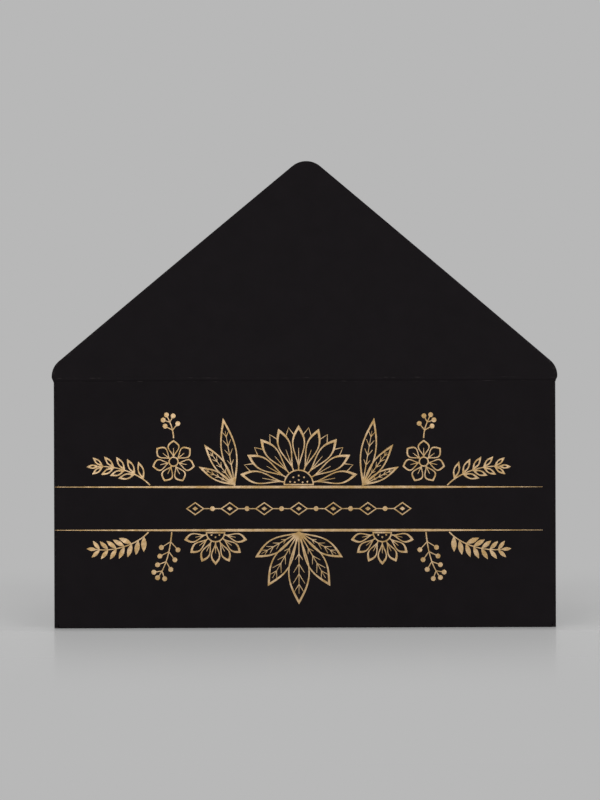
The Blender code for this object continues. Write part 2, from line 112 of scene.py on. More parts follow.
# Foil print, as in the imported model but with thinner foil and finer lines
FOIL = 0.00002
FOIL_LIFT = 0.00001
PRINT_SHIFT = -0.002
PRINT_SIDE_MARGIN = 0.008
PRINT_TOP_MARGIN = 0.011
PRINT_BOTTOM_MARGIN = 0.0075
PRINT_TILT = 0.0023
RULE_WIDTHS = (0.00014, 0.0004, 0.00062, 0.0008, 0.0008, 0.0008, 0.00078, 0.00038, 0.0001)
RULE_START = -0.0823
RULE_END_MARGIN = 0.0024
LINE = 0.00042
FINE_LINE = 0.0003
SPACE = 0.0006
RULE_SPACING = 0.0143
ROSETTE_RADIUS = 0.0205
ROSETTE_CORE = 0.005
ROSETTE_PETALS = 9
FAN_SPAN = 0.0125
FAN_HEIGHT = 0.0235
BLOSSOM_RADIUS = 0.0072
BLOSSOM_CORE = 0.0017
BLOSSOM_PETALS = 7
SPRIG_HEIGHT = 0.0085
LAUREL_SPAN = 0.0215
LAUREL_HEIGHT = 0.0085
LAUREL_LEAF = 0.0062
PALMETTE_LENGTH = 0.024
PALMETTE_SPAN = 0.0155
DAISY_RADIUS = 0.0115
DAISY_CORE = 0.0032
DAISY_PETALS = 7
TWIG_SPAN = 0.0095
TWIG_LENGTH = 0.0165
BERRY_RADIUS = 0.0008
FROND_SPAN = 0.021
FROND_DROP = 0.0085
FROND_LEAF = 0.0052
CHAIN_LENGTH = 0.08
CHAIN_LOZENGES = 7
LOZENGE_LENGTH = 0.0062
LOZENGE_HEIGHT = 0.0044
PETAL_FULLNESS = 0.62
PETAL_FIT = 0.86
TUCKED_FROM = 0.8
TUCKED_REACH = 0.97
FAN_ANGLES = (27, 53, 80)
FAN_SLIMNESS = 0.23
PALMETTE_ANGLES = (30, 60, 90, 120, 150)
PALMETTE_SLIMNESS = 0.3
SPRAY_SLIMNESS = 0.34
PAIR_TAPER = 1 / 3
END_LEAF = 2 / 3
LAUREL_PAIRS = 5
LAUREL_LEAN = radians(38)
LAUREL_END = 0.8
FROND_PAIRS = 7
FROND_LEAN = radians(48)
FROND_END = 0.75
SPRIG_PAIRS = 2
SPRIG_STALK = 0.33
TWIG_PAIRS = 4
TWIG_STALK = 0.22
STALK_LEAN = radians(50)

# Fine strokes of the print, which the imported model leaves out
VEIN_PAIRS = (0.3, 0.44, 0.58, 0.72)
VEIN_LEAN = radians(32)
VEIN_REACH = 0.62
ROSETTE_VEIN = 0.5
BLOSSOM_VEIN = 0.55
SEED_RADIUS = 0.0003
SEED_SPACING = 0.0015
STONE_SHARE = 0.3

# Places of the motifs, outward from the middle of the print
FAN_PLACE = ROSETTE_RADIUS + SPACE
BLOSSOM_PLACE = FAN_PLACE + FAN_SPAN + SPACE + BLOSSOM_RADIUS
LAUREL_PLACE = BLOSSOM_PLACE + BLOSSOM_RADIUS + SPACE
DAISY_PLACE = PALMETTE_SPAN + SPACE + DAISY_RADIUS
TWIG_PLACE = DAISY_PLACE + DAISY_RADIUS + SPACE
FROND_PLACE = TWIG_PLACE + TWIG_SPAN + SPACE
BLOSSOM_RISE = BLOSSOM_RADIUS + 2 * SPACE
SPRIG_RISE = BLOSSOM_RISE + BLOSSOM_RADIUS + SPACE
DRAWN_REACH = max(LAUREL_PLACE + LAUREL_SPAN, FROND_PLACE + FROND_SPAN)
UPPER_HEIGHT = max(FAN_HEIGHT, ROSETTE_RADIUS, SPRIG_RISE + SPRIG_HEIGHT)
LOWER_HEIGHT = max(PALMETTE_LENGTH, DAISY_RADIUS, TWIG_LENGTH) + SPACE
PRINT_ROOM = PANEL_HALF - abs(PRINT_SHIFT) - PRINT_SIDE_MARGIN
PRINT_RISE = CREASE_HEIGHT - PRINT_TOP_MARGIN - PRINT_BOTTOM_MARGIN
DRAWN_HEIGHT = UPPER_HEIGHT + RULE_SPACING + LOWER_HEIGHT
PRINT_SCALE = min(PRINT_ROOM / DRAWN_REACH, PRINT_RISE / DRAWN_HEIGHT)
LOWER_RULE = PRINT_BOTTOM_MARGIN + PRINT_SCALE * LOWER_HEIGHT
UPPER_RULE = LOWER_RULE + PRINT_SCALE * RULE_SPACING

# Colours, linear
BLACK_CARD = (0.0055, 0.0043, 0.0051)
BARE_BOARD = (0.022, 0.019, 0.0195)
# Paler fibre for worn edges, and also the painted highlight of the dashes beside the crease
FIBRE_AND_GLINT_TONE = (0.04, 0.034, 0.034)
DEEP_GOLD = (0.47, 0.298, 0.122)
PALE_GOLD = (0.66, 0.468, 0.275)
DRIED_GLUE = (0.75, 0.72, 0.62)
STUDIO_GREY = (0.479, 0.479, 0.479)
FLOOR_GREY = (0.5, 0.5, 0.5)

# Surfaces: the grains of their noise in metres, and the ranges that noise is taken from
NOISE_RANGE = (0.3, 0.7)
CARD_CLOUD = 0.006
FIBRE_RANGE = (0.45, 0.75)
FIBRE_STRETCH = (1, 1, 0.35)
FIBRE_SHADE = 1.6
ROUGHNESS_SPREAD = 0.06
SCUFF_GRAIN = 0.0009
SCUFF_RANGE = (0.52, 0.68)
# Dashes beside the crease: cracks with a painted highlight along them
CRACK_GLINT_GRAIN = 0.004
CRACK_GLINT_RANGE = (0.6, 0.7)
CRACK_GLINT_STRETCH = (1, 8, 8)
FOIL_CLOUD = 0.0025
FOIL_CLOUD_RANGE = (0.35, 0.65)
FOIL_GRAIN = 0.00012
FOIL_GRAIN_DEPTH = 0.000006
FOIL_WAVE = 0.002
FOIL_WAVE_DEPTH = 0.00008
FOIL_ROUGHNESS = (0.28, 0.42)
PINHOLE_GRAIN = 0.00015
PINHOLE_RANGE = (0.7, 0.74)
GLUE_GRAIN = 0.0012
GLUE_DEPTH = 0.00004
GLUE_ROUGHNESS = (0.25, 0.5)

# Picture
SENSOR_WIDTH = 36
PICTURE_HEIGHT = 0.26287
PICTURE_CENTRE = Vector((-0.0015, 0, 0.07485))
PICTURE_ROLL = radians(0.17)
CAMERA_DISTANCE = 1.6

# Lamps, each with its place and its power in watts
LAMPS = {
    "key_lamp": ((-0.9, -1.8, 0.85), 24),
    "fill_lamp": ((1.1, -1.7, 0.75), 20),
    "back_lamp": ((0, 2.4, 1.2), 46),
}
LAMP_SIZE = 1.5
LAMP_AIM = Vector((0, 0, 0.06))
WORLD_LIGHT = 0.35

# Floor, with its shares of even grey in front of the envelope and behind it
FLOOR_REACH = 4
SWEEP_RADIUS = 0.6
FLOOR_ROUGHNESS = 0.9
MIRROR_ROUGHNESS = 0.12
EVEN_SHARES = (0.95, 0.1)
EVEN_CHANGE = (-0.035, 0.05)
SHADOW_REACH = (0.25, 0.6)
SIDE_REACH = 0.03
SIDE_SPREAD = 0.2
CONTACT_SHARE = 0.35
CONTACT_REACH = 0.03
MIRROR_SHARE = 0.54
MIRROR_FALLOFF = 20
MIRROR_REACH = (0, 0.36)


# Nodes


def new_material(name):
    """A material with its node tree and its Principled shader."""
    made = bpy.data.materials.new(name)
    made.use_nodes = True
    return made, made.node_tree, made.node_tree.nodes["Principled BSDF"]


def node(tree, kind, inputs, **settings):
    """A new node; an input takes a value or another node's output."""
    made = tree.nodes.new(kind)
    for name, value in settings.items():
        setattr(made, name, value)
    for name, value in inputs.items():
        if isinstance(value, bpy.types.NodeSocket):
            tree.links.new(value, made.inputs[name])
        else:
            made.inputs[name].default_value = value
    return made


def object_coordinates(tree, stretch=(1, 1, 1)):
    """The place on the object in metres, times a stretch along each axis."""
    place = tree.nodes.new("ShaderNodeTexCoord").outputs["Object"]
    return node(tree, "ShaderNodeMapping", {"Vector": place, "Scale": stretch}).outputs["Vector"]


def noise(tree, grain, detail=2, stretch=(1, 1, 1)):
    """Noise whose grains are this many metres across."""
    inputs = {"Vector": object_coordinates(tree, stretch), "Scale": 1 / grain, "Detail": detail}
    return node(tree, "ShaderNodeTexNoise", inputs).outputs["Fac"]


def between(tree, value, low, high, start=0, end=1, curve="LINEAR"):
    """A value taken from a range to another, and held at its ends."""
    inputs = {"Value": value, "From Min": start, "From Max": end, "To Min": low, "To Max": high}
    return node(tree, "ShaderNodeMapRange", inputs, interpolation_type=curve).outputs["Result"]


def maths(tree, operation, first, second=0):
    return node(tree, "ShaderNodeMath", {0: first, 1: second}, operation=operation).outputs[0]


def colour_sockets(sockets):
    return [socket for socket in sockets if socket.type == "RGBA"]


def mixed(tree, share, first, second):
    """A colour between two, each of which is a tuple or another node's output."""
    mix = node(tree, "ShaderNodeMix", {"Factor": share}, data_type="RGBA")
    for target, colour in zip(colour_sockets(mix.inputs), (first, second)):
        if isinstance(colour, bpy.types.NodeSocket):
            tree.links.new(colour, target)
        else:
            target.default_value = (*colour, 1)
    return colour_sockets(mix.outputs)[0]


def mixed_shaders(tree, share, first, second):
    return node(tree, "ShaderNodeMixShader", {0: share, 1: first, 2: second}).outputs[0]


def bump(tree, height, distance, strength=1, below=None):
    """A normal with relief this many metres deep, on top of the relief below it."""
    inputs = {"Height": height, "Distance": distance, "Strength": strength}
    if below:
        inputs["Normal"] = below
    return node(tree, "ShaderNodeBump", inputs).outputs["Normal"]


def shaded(colour, share):
    return tuple(part * share for part in colour)


def attribute(tree, name):
    """A mark that the mesh's vertices carry."""
    return node(tree, "ShaderNodeAttribute", {}, attribute_name=name).outputs["Fac"]


# Card


def belly(x, z):
    """How far a panel stands out from its flat plane; the flap mirrors the back panel."""
    across = min(abs(x) / PANEL_HALF, 1)
    up = (z - BOTTOM_FOLD_HEIGHT) / (CREASE_HEIGHT - BOTTOM_FOLD_HEIGHT)
    up = min(up, 2 - up)
    if up <= 0:
        return 0
    return BELLY * (1 - across**2) * (1 - (1 - up) ** 2)


def smooth(share):
    """A share that is eased in and out."""
    share = min(max(share, 0), 1)
    return share * share * (3 - 2 * share)


def bead(z):
    """The crease stands out between two pressed grooves."""
    away = abs(z - CREASE_HEIGHT)
    if away < BEAD_HALF:
        return BEAD_RISE * cos(pi / 2 * away / BEAD_HALF)
    if away < BEAD_HALF + GROOVE_WIDTH:
        return -GROOVE_DEPTH * sin(pi * (away - BEAD_HALF) / GROOVE_WIDTH)
    return 0


def front_point(x, z):
    """A point of the card's outer face on the front panel, the crease or the leaning flap."""
    point = Vector((x, -(HALF_DEPTH + belly(x, z) + bead(z)), z))
    lean = FLAP_LEAN * smooth((z - BLEND_START) / (FLAP_FOOT - BLEND_START))
    return HINGE + Matrix.Rotation(-lean, 3, "X") @ (point - HINGE)


def steps_between(start, end, cell):
    """Even steps from start to end, without the end."""
    count = max(1, ceil(abs(end - start) / cell - ROUNDING))
    return [start + (end - start) * step / count for step in range(count)]


def steps_to(start, end, cell):
    """Even steps from start to end, with the end."""
    return [*steps_between(start, end, cell), end]


def corner_arc(before, corner, after, radius):
    """The arc that rounds a corner between two neighbours."""
    back = (before - corner).normalized()
    ahead = (after - corner).normalized()
    half = back.angle(ahead) / 2
    centre = corner + (back + ahead).normalized() * radius / sin(half)
    spoke = corner + back * radius / tan(half) - centre
    sweep = pi - 2 * half
    if back.cross(ahead) > 0:
        sweep = -sweep
    count = 2 * ceil(abs(sweep) / ARC_STEP / 2)
    return [centre + Matrix.Rotation(sweep * step / count, 2) @ spoke for step in range(count + 1)]


def flap_side(side):
    """The flap's outline in the XZ plane, from its foot at one side up to its tip."""
    foot = Vector((side * FLAP_HALF, FLAP_FOOT))
    shoulder = Vector((side * FLAP_HALF, FLAP_SHOULDERS[side]))
    apex = Vector((TIP_SHIFT, FLAP_APEX))
    opposite = Vector((-side * FLAP_HALF, FLAP_SHOULDERS[-side]))
    low = corner_arc(foot, shoulder, apex, SHOULDER_RADIUS)
    high = corner_arc(shoulder, apex, opposite, TIP_RADIUS)
    high = high[: len(high) // 2 + 1]
    slope = [low[-1].lerp(high[0], step / SLOPE_STEPS) for step in range(1, SLOPE_STEPS)]
    return [foot, *low, *slope, *high]


def columns():
    """Shares of the half width: even ones between the side folds, and one for each edge."""
    inner = FOLD_ROOT / (BODY_WIDTH / 2)
    count = 2 * ceil(BODY_WIDTH * inner / CELL / 2)
    return [-1, *(inner * (2 * step / count - 1) for step in range(count + 1)), 1]


def front_row(half, z):
    """A level row across the front panel or the crease."""
    return [front_point(half * share, z) for share in COLUMNS]


def flap_rows():
    """Rows from the tip of the flap down to its foot."""
    rows = []
    for left, right in reversed(list(zip(flap_side(-1), flap_side(1)))):
        points = [left.lerp(right, (share + 1) / 2) for share in COLUMNS]
        rows.append([front_point(x, z) for x, z in points])
    return rows


def crease_rows():
    """Rows from below the flap's foot down to the panel, as the card narrows to its width."""
    rows = []
    for z in steps_between(FLAP_FOOT, PANEL_TOP, CREASE_STEP)[1:]:
        ear = smooth((z - PANEL_TOP) / (FLAP_FOOT - PANEL_TOP))
        rows.append(front_row(BODY_WIDTH / 2 + (FLAP_HALF - BODY_WIDTH / 2) * ear, z))
    return rows


def bottom_rows():
    """The bottom fold, round from the front to the back."""
    inner = HALF_DEPTH - BOTTOM_FOLD_RADIUS
    front = [(-HALF_DEPTH, BOTTOM_FOLD_HEIGHT)]
    for turn in steps_to(0, pi / 2, FOLD_STEP):
        y = inner + BOTTOM_FOLD_RADIUS * cos(turn)
        front.append((-y, BOTTOM_FOLD_RADIUS * (1 - sin(turn))))
    front.append((-inner / 3, 0))
    profile = [*front, *((-y, z) for y, z in reversed(front))]
    middle = [share * BODY_WIDTH / 2 for share in COLUMNS[1:-1]]
    rows = []
    for y, z in profile:
        over = max(0, SIDE_FOLD_RADIUS - HALF_DEPTH - y) / SIDE_FOLD_RADIUS
        end = FOLD_ROOT + max(SIDE_FOLD_RADIUS * sqrt(max(0, 1 - over**2)), CARD / 2)
        end -= (BODY_WIDTH / 2 - BACK_HALF) * smooth(y / HALF_DEPTH)
        rows.append([Vector((x, y, z)) for x in (-end, *middle, end)])
    return rows


def back_rows():
    """Rows from the foot of the back panel up to its top edge with its rounded corners."""
    high = BACK_TOP - BACK_CORNER_RADIUS
    places = [(BACK_HALF, z) for z in steps_between(PANEL_FOOT, high, CELL)]
    for turn in steps_to(0, pi / 2, ARC_STEP):
        inset = BACK_CORNER_RADIUS * (1 - cos(turn))
        places.append((BACK_HALF - inset, high + BACK_CORNER_RADIUS * sin(turn)))
    rows = []
    for half, z in places:
        level = [HALF_DEPTH + belly(half * share, z) for share in COLUMNS]
        rows.append([Vector((half * share, y, z)) for share, y in zip(COLUMNS, level)])
    return rows


COLUMNS = columns()
FRONT_HEIGHTS = [
    *steps_between(PANEL_TOP, TAB_HEAD, CELL),
    *steps_to(TAB_HEAD, TAB_FOOT, CELL),
    PANEL_FOOT,
]
FOLD_TURNS = steps_to(-pi / 2, pi / 2, FOLD_STEP)[1:]
TAB_PLACES = steps_to(FOLD_ROOT, TAB_EDGE, CELL)[1:]


class Sheet:
    """A sheet of card in the making, whose vertices carry marks for wear, and for cracks beside
    the crease that carry a painted highlight.
    """

    def __init__(self):
        self.bm = bmesh.new()
        self.wear = self.bm.verts.layers.float.new("wear")
        self.crack_glint = self.bm.verts.layers.float.new("crack_glint")

    def verts(self, points):
        return [self.bm.verts.new(point) for point in points]

    def join(self, first, second, reverse=False):
        """Faces between two rows of vertices."""
        for a, d, b, c in zip(first, first[1:], second, second[1:]):
            self.bm.faces.new((d, c, b, a) if reverse else (a, b, c, d))

    def join_rows(self, rows, reverse=False):
        """Faces between each row and the next."""
        for first, second in zip(rows, rows[1:]):
            self.join(first, second, reverse)


def fold_points(z, side):
    """Points round a side fold at a height of the front panel; its lowest end droops."""
    drop = SIDE_FOLD_DROP if z == PANEL_FOOT else 0
    points = []
    for turn in FOLD_TURNS:
        x = FOLD_ROOT + SIDE_FOLD_RADIUS * cos(turn)
        y = SIDE_FOLD_RADIUS * (1 + sin(turn)) - HALF_DEPTH
        points.append((side * x, y, z - drop * smooth((turn + pi / 2) / (2 * FOLD_STEP))))
    return points


def tab_points(z, side):
    """Points across a glue tab, whose upper and lower edges slant towards its free edge."""
    slanting = TAB_SLANT * (1 - 2 * (z - TAB_FOOT) / (TAB_HEAD - TAB_FOOT))
    points = []
    for x in TAB_PLACES:
        height = z + slanting * (FOLD_ROOT - x) / (FOLD_ROOT - TAB_EDGE)
        points.append((side * x, TAB_LEVEL + belly(x, height), height))
    return points


def make_side(sheet, rows, side):
    """The rounded side fold, and the tab that it turns in behind the front panel."""
    folds = []
    tabs = []
    for z, front in zip(FRONT_HEIGHTS, rows):
        bent = sheet.verts(fold_points(z, side))
        for vert, turn in zip(bent, FOLD_TURNS):
            vert[sheet.wear] = cos(turn) ** 2
        folds.append([front[-2 if side > 0 else 1], *bent])
        if TAB_FOOT <= z <= TAB_HEAD:
            tabs.append([bent[-1], *sheet.verts(tab_points(z, side))])
    sheet.join_rows(folds, reverse=side < 0)
    sheet.join_rows(tabs, reverse=side < 0)


def mark_wear_and_crack_glints(sheet, flap, crease, back):
    """Marks the cut edges, which wear, and the grooves beside the crease, which crack and carry a
    painted highlight.
    """
    ends = [row[end] for row in [*flap, *back] for end in (0, -1)]
    for vert in [*back[-1], *ends]:
        vert[sheet.wear] = 1
    # The grooves beside the crease are marked for cracks and for a painted highlight
    for row in crease:
        for vert in row:
            away = abs(abs(vert.co.z - CREASE_HEIGHT) - BEAD_HALF - GROOVE_WIDTH / 2)
            vert[sheet.crack_glint] = max(0, 1 - away / GROOVE_WIDTH)


def make_card():
    """The folded sheet: flap, crease, front, bottom and back, and a tab at each side."""
    sheet = Sheet()
    flap = [sheet.verts(row) for row in flap_rows()]
    crease = [sheet.verts(row) for row in crease_rows()]
    front = [sheet.verts(front_row(BODY_WIDTH / 2, z)) for z in FRONT_HEIGHTS]
    bottom = [sheet.verts(row) for row in bottom_rows()]
    back = [sheet.verts(row) for row in back_rows()]
    sheet.join_rows([*flap, *crease, front[0]])
    sheet.join_rows([front[-1], *bottom, *back])
    sheet.join_rows([row[1:-1] for row in front])
    for side in (-1, 1):
        make_side(sheet, front, side)
    mark_wear_and_crack_glints(sheet, flap, crease, back)
    bmesh.ops.remove_doubles(sheet.bm, verts=flap[0], dist=MICRON)
    card = add_piece("envelope_card", sheet.bm)
    thicken(card, CARD, inside=1, rim=2)
    for material in (card_outside(), card_inside(), card_rim()):
        card.data.materials.append(material)
    return card


def add_piece(name, bm):
    """A smooth piece without loose vertices, whose open borders are sharp."""
    loose = [vert for vert in bm.verts if not vert.link_faces]
    bmesh.ops.delete(bm, geom=loose, context="VERTS")
    for edge in bm.edges:
        edge.smooth = not edge.is_boundary
    for face in bm.faces:
        face.smooth = True
    mesh = bpy.data.meshes.new(name)
    bm.to_mesh(mesh)
    bm.free()
    made = bpy.data.objects.new(name, mesh)
    bpy.context.scene.collection.objects.link(made)
    return made


def thicken(piece, thickness, inside=0, rim=0):
    """Gives a sheet its thickness behind the face that its normals point out of."""
    solid = piece.modifiers.new("thickness", "SOLIDIFY")
    solid.thickness = thickness
    solid.offset = -1
    solid.use_even_offset = True
    solid.material_offset = inside
    solid.material_offset_rim = rim


# Materials


def paper(name, colour, grain, roughness, specular, relief):
    """Card with a cloudy tone and a fine fibre grain."""
    made, tree, shader = new_material(name)
    cloud = noise(tree, CARD_CLOUD, detail=4)
    fibre = noise(tree, grain, detail=3, stretch=FIBRE_STRETCH)
    speck = noise(tree, grain / 3, detail=1)
    clouded = between(tree, cloud, 0, 1, *NOISE_RANGE)
    tone = mixed(tree, clouded, shaded(colour, 0.9), shaded(colour, 1.1))
    fibrous = between(tree, fibre, 0, 0.5, *FIBRE_RANGE)
    tone = mixed(tree, fibrous, tone, shaded(colour, FIBRE_SHADE))
    limits = (roughness - ROUGHNESS_SPREAD, roughness + ROUGHNESS_SPREAD)
    rough = between(tree, speck, *limits, *NOISE_RANGE)
    normal = bump(tree, cloud, relief * 3, strength=0.3)
    normal = bump(tree, fibre, relief, strength=0.5, below=normal)
    normal = bump(tree, speck, relief / 2, strength=0.4, below=normal)
    tree.links.new(normal, shader.inputs["Normal"])
    tree.links.new(rough, shader.inputs["Roughness"])
    tree.links.new(tone, shader.inputs["Base Color"])
    shader.inputs["Specular IOR Level"].default_value = specular
    return made


def fibre_and_glint_shown(tree, tone, mark, patches):
    """A tone that turns paler in patches where the vertices carry a mark: fibre at worn edges, and
    cracked fibre with a painted highlight beside the crease.
    """
    return mixed(tree, maths(tree, "MULTIPLY", attribute(tree, mark), patches), tone, FIBRE_AND_GLINT_TONE)


def card_outside():
    """Black card that is scuffed along its edges, with paler dashes beside its crease that are
    partly cracked fibre and partly a painted highlight.
    """
    made = paper(
        "card_outside", BLACK_CARD, grain=0.00018, roughness=0.68, specular=0.05, relief=0.00002
    )
    tree = made.node_tree
    base = tree.nodes["Principled BSDF"].inputs["Base Color"]
    scuff = noise(tree, SCUFF_GRAIN, detail=4)
    glint_dash = noise(tree, CRACK_GLINT_GRAIN, detail=3, stretch=CRACK_GLINT_STRETCH)
    tone = base.links[0].from_socket
    tone = fibre_and_glint_shown(tree, tone, "wear", between(tree, scuff, 0, 0.5, *SCUFF_RANGE))
    # Paler dashes beside the crease: cracked fibre and a painted highlight
    tone = fibre_and_glint_shown(tree, tone, "crack_glint", between(tree, glint_dash, 0, 0.6, *CRACK_GLINT_RANGE))
    tree.links.new(tone, base)
    return made


def card_inside():
    """The bare side, of rougher board."""
    return paper(
        "card_inside", BARE_BOARD, grain=0.00035, roughness=0.8, specular=0.15, relief=0.00003
    )


def card_rim():
    """The cut edge, which is a little paler than the inside."""
    colour = shaded(BARE_BOARD, 1.3)
    return paper("card_rim", colour, grain=0.0001, roughness=0.9, specular=0.1, relief=0.00003)


def gold_foil():
    """Satin foil of uneven tone, with pinholes that show the card."""
    made, tree, shader = new_material("gold_foil")
    cloud = noise(tree, FOIL_CLOUD, detail=3)
    grain = noise(tree, FOIL_GRAIN, detail=2)
    tone = mixed(tree, between(tree, cloud, 0, 1, *FOIL_CLOUD_RANGE), DEEP_GOLD, PALE_GOLD)
    pinhole = between(tree, noise(tree, PINHOLE_GRAIN, detail=1), 0, 1, *PINHOLE_RANGE)
    rough = between(tree, grain, *FOIL_ROUGHNESS, *NOISE_RANGE)
    normal = bump(tree, noise(tree, FOIL_WAVE, detail=1), FOIL_WAVE_DEPTH)
    normal = bump(tree, grain, FOIL_GRAIN_DEPTH, strength=0.6, below=normal)
    tree.links.new(mixed(tree, pinhole, tone, BLACK_CARD), shader.inputs["Base Color"])
    tree.links.new(between(tree, pinhole, 1, 0), shader.inputs["Metallic"])
    tree.links.new(rough, shader.inputs["Roughness"])
    tree.links.new(normal, shader.inputs["Normal"])
    return made


def dried_glue():
    """A yellowish film of uneven gloss."""
    made, tree, shader = new_material("dried_glue")
    film = noise(tree, GLUE_GRAIN, detail=3)
    tone = mixed(tree, film, shaded(DRIED_GLUE, 0.8), DRIED_GLUE)
    tree.links.new(tone, shader.inputs["Base Color"])
    tree.links.new(between(tree, film, *GLUE_ROUGHNESS), shader.inputs["Roughness"])
    tree.links.new(bump(tree, film, GLUE_DEPTH), shader.inputs["Normal"])
    return made


def floor_places(tree):
    """How far a point of the floor lies beside the envelope, behind it, and from its foot."""
    place = node(tree, "ShaderNodeSeparateXYZ", {0: object_coordinates(tree)}).outputs
    aside = maths(tree, "SUBTRACT", maths(tree, "ABSOLUTE", place["X"]), BODY_WIDTH / 2)
    aside = maths(tree, "MAXIMUM", aside, 0)
    flat = {"X": aside, "Y": place["Y"], "Z": place["Z"]}
    offset = node(tree, "ShaderNodeCombineXYZ", flat).outputs[0]
    away = node(tree, "ShaderNodeVectorMath", {0: offset}, operation="LENGTH").outputs["Value"]
    return aside, place["Y"], away


def seen(tree):
    """1 for a ray from the camera, straight or by way of metal or glass, and 0 for other light."""
    path = tree.nodes.new("ShaderNodeLightPath").outputs
    mirrored = maths(tree, "MAXIMUM", path["Is Glossy Ray"], path["Is Transmission Ray"])
    return maths(tree, "MAXIMUM", path["Is Camera Ray"], mirrored)


def evenness(tree, aside, depth, away):
    """How far even grey covers the floor's own shading: least behind the envelope and close by."""
    share = between(tree, depth, *EVEN_SHARES, *EVEN_CHANGE, curve="SMOOTHSTEP")
    share = maths(tree, "MAXIMUM", share, between(tree, away, 0, 1, *SHADOW_REACH))
    reach = between(tree, depth, SIDE_REACH, SIDE_REACH + SIDE_SPREAD)
    beside = maths(tree, "DIVIDE", aside, reach)
    beside = between(tree, beside, EVEN_SHARES[1], 1, curve="SMOOTHSTEP")
    share = maths(tree, "MAXIMUM", share, beside)
    contact = between(tree, away, CONTACT_SHARE, 1, 0, CONTACT_REACH, curve="SMOOTHSTEP")
    return maths(tree, "MULTIPLY", share, contact)


def reflectivity(tree, away):
    """How far the floor mirrors: only at a grazing look, and fading away from the envelope."""
    grazing = node(tree, "ShaderNodeLayerWeight", {"Blend": 0.5}).outputs["Facing"]
    grazing = maths(tree, "POWER", grazing, MIRROR_FALLOFF)
    fading = between(tree, away, MIRROR_SHARE, 0, *MIRROR_REACH, curve="SMOOTHSTEP")
    return maths(tree, "MULTIPLY", grazing, fading)


def studio_paper():
    """Grey paper that keeps a soft shadow and a faint reflection, and is evenly grey beyond."""
    made, tree, shader = new_material("studio_paper")
    shader.inputs["Base Color"].default_value = (*FLOOR_GREY, 1)
    shader.inputs["Roughness"].default_value = FLOOR_ROUGHNESS
    shader.inputs["Specular IOR Level"].default_value = 0
    plain = shader.outputs[0]
    even = node(tree, "ShaderNodeEmission", {"Color": (*STUDIO_GREY, 1)}).outputs[0]
    gloss = node(tree, "ShaderNodeBsdfGlossy", {"Roughness": MIRROR_ROUGHNESS}).outputs[0]
    aside, depth, away = floor_places(tree)
    near = mixed_shaders(tree, evenness(tree, aside, depth, away), plain, even)
    near = mixed_shaders(tree, reflectivity(tree, away), near, gloss)
    surface = mixed_shaders(tree, seen(tree), plain, near)
    tree.links.new(surface, tree.nodes["Material Output"].inputs["Surface"])
    return made


# Drawn shapes: each is a list of small outlines, which the foil joins


def heading(angle):
    """The direction at an angle."""
    return Vector((cos(angle), sin(angle)))


def slant(along):
    """The angle of a direction."""
    return along.angle_signed(Vector((1, 0)))


def spread(values, share):
    """The value at a share of the way through an evenly spaced list."""
    place = share * (len(values) - 1)
    step = min(int(place), len(values) - 2)
    return values[step] + (values[step + 1] - values[step]) * (place - step)


def bend(start, start_handle, end_handle, end, steps):
    """Points along a Bezier curve."""
    points = [Vector(point) for point in (start, start_handle, end_handle, end)]
    return [point.to_2d() for point in interpolate_bezier(*points, steps + 1)]


def line_along(path, widths):
    """A drawn line: one quad for each step of its path, with widths spread along it."""
    sides = []
    for index, point in enumerate(path):
        before = path[max(index - 1, 0)]
        after = path[min(index + 1, len(path) - 1)]
        across = (after - before).normalized().orthogonal()
        half = across * spread(widths, index / (len(path) - 1)) / 2
        sides.append((point + half, point - half))
    return [[a[0], b[0], b[1], a[1]] for a, b in zip(sides, sides[1:])]


def ring(outer, inner):
    """The band between two outlines of equally many points."""
    steps = range(len(outer))
    return [[outer[step - 1], outer[step], inner[step], inner[step - 1]] for step in steps]


def polygon(centre, radius, sides):
    return [centre + heading(2 * pi * index / sides) * radius for index in range(sides)]


def leaf(base, angle, length, width, fullness=0.5, steps=LEAF_STEPS):
    """A pointed oval that is widest at a share of its length."""
    along = heading(angle)
    across = heading(angle + pi / 2)
    shares = [step / steps for step in range(1, steps)]
    halves = [(share, half_width(share, width, fullness)) for share in shares]
    near = [base + along * length * share + across * half for share, half in halves]
    far = [base + along * length * share - across * half for share, half in reversed(halves)]
    return [base, *near, base + along * length, *far]


def half_width(share, width, fullness):
    """Half the width of a leaf at a share of its length."""
    return sin(pi * share ** (log(0.5) / log(fullness))) * width / 2


def open_leaf(base, angle, length, width, fullness=0.5, steps=LEAF_STEPS, vein=0):
    """A leaf or petal as an outline, with a vein drawn over a share of its length."""
    outer = leaf(base, angle, length, width, fullness, steps)
    if width < 3 * LINE:
        return [outer]
    point = LINE * length / width
    inner_base = base + heading(angle) * point
    inner_length = length - 2 * point
    inner = leaf(inner_base, angle, inner_length, width - 2 * LINE, fullness, steps)
    drawn = ring(outer, inner)
    if vein:
        end = base + heading(angle) * length * vein
        drawn += line_along([base, (base + end) / 2, end], (LINE, FINE_LINE / 2))
    return drawn


def side_veins(base, angle, length, width, fullness):
    """Fine strokes in pairs that branch off the vein of a leaf towards its tip."""
    shapes = []
    for share in VEIN_PAIRS:
        foot = base + heading(angle) * length * share
        reach = VEIN_REACH * (half_width(share, width, fullness) - LINE) / sin(VEIN_LEAN)
        if reach > 2 * LINE:
            for lean in (-VEIN_LEAN, VEIN_LEAN):
                tip = foot + heading(angle + lean) * reach
                shapes += line_along([foot, tip], (FINE_LINE, FINE_LINE / 2))
    return shapes


def seeds(centre, core):
    """Dots in half rings round the middle of a flower."""
    dots = []
    for circle in range(1, int(core / SEED_SPACING)):
        count = 2 * circle + 1
        for index in range(count):
            place = heading(pi * (index + 0.5) / count) * SEED_SPACING * circle
            dots.append(polygon(centre + place, SEED_RADIUS, SEED_SIDES))
    return dots


